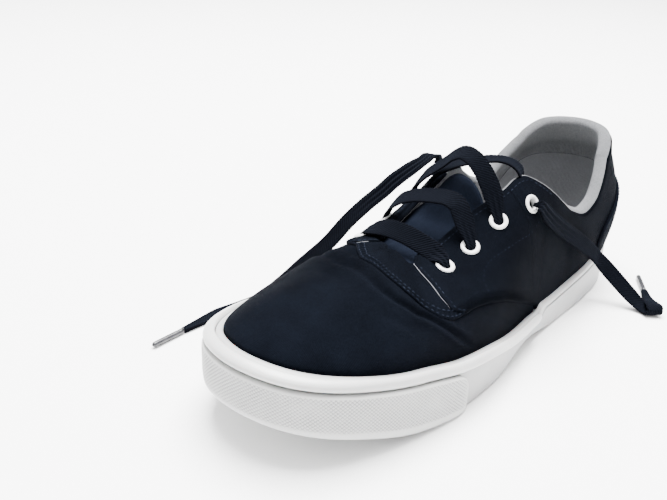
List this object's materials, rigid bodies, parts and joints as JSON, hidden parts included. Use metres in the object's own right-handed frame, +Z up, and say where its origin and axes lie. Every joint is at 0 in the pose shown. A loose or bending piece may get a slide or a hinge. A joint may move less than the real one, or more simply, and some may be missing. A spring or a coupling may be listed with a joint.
{
  "type": "skateboarding shoe",
  "caption": "Low canvas skateboarding shoe for the left foot, with rubber foxing, toe bumper, padded collar and flat laces.",
  "frame": {"origin": "on the floor under the middle of the shoe's box, the loose lace ends left out", "axes": "+X to the toe, +Y to the outer (lateral) side of the left foot, +Z up"},
  "size_m": [0.2979, 0.1772, 0.1012],
  "materials": {
    "canvas": "dark navy cotton canvas, fine twill, matt",
    "webbing": "navy woven tape, matt",
    "lining": "light grey knit lining and footbed cloth, matt",
    "white_rubber": "off-white vulcanised rubber, satin",
    "outsole_rubber": "off-white outsole rubber, satin",
    "eyelet": "white painted eyelet, semi-gloss",
    "lace": "black flat woven lace, matt",
    "aglet": "dark film aglet, glossy"
  },
  "bodies": {
    "root": {"upper": "canvas", "tongue": "canvas", "backstay": "webbing", "insole": "lining", "outsole": "outsole_rubber", "foxing": "white_rubber", "foxing_strip": "white_rubber", "toe_bumper": "white_rubber", "eyelet_lateral_1": "eyelet", "eyelet_lateral_2": "eyelet", "eyelet_lateral_3": "eyelet", "eyelet_lateral_4": "eyelet", "eyelet_medial_1": "eyelet", "eyelet_medial_2": "eyelet", "eyelet_medial_3": "eyelet", "eyelet_medial_4": "eyelet", "lace_bar_1": "lace", "lace_bar_2": "lace", "lace_bar_3": "lace", "lace_strand": "lace", "lace_end_lateral": "lace", "lace_end_medial": "lace", "aglet_lateral": "aglet", "aglet_medial": "aglet"}
  },
  "joints": []
}
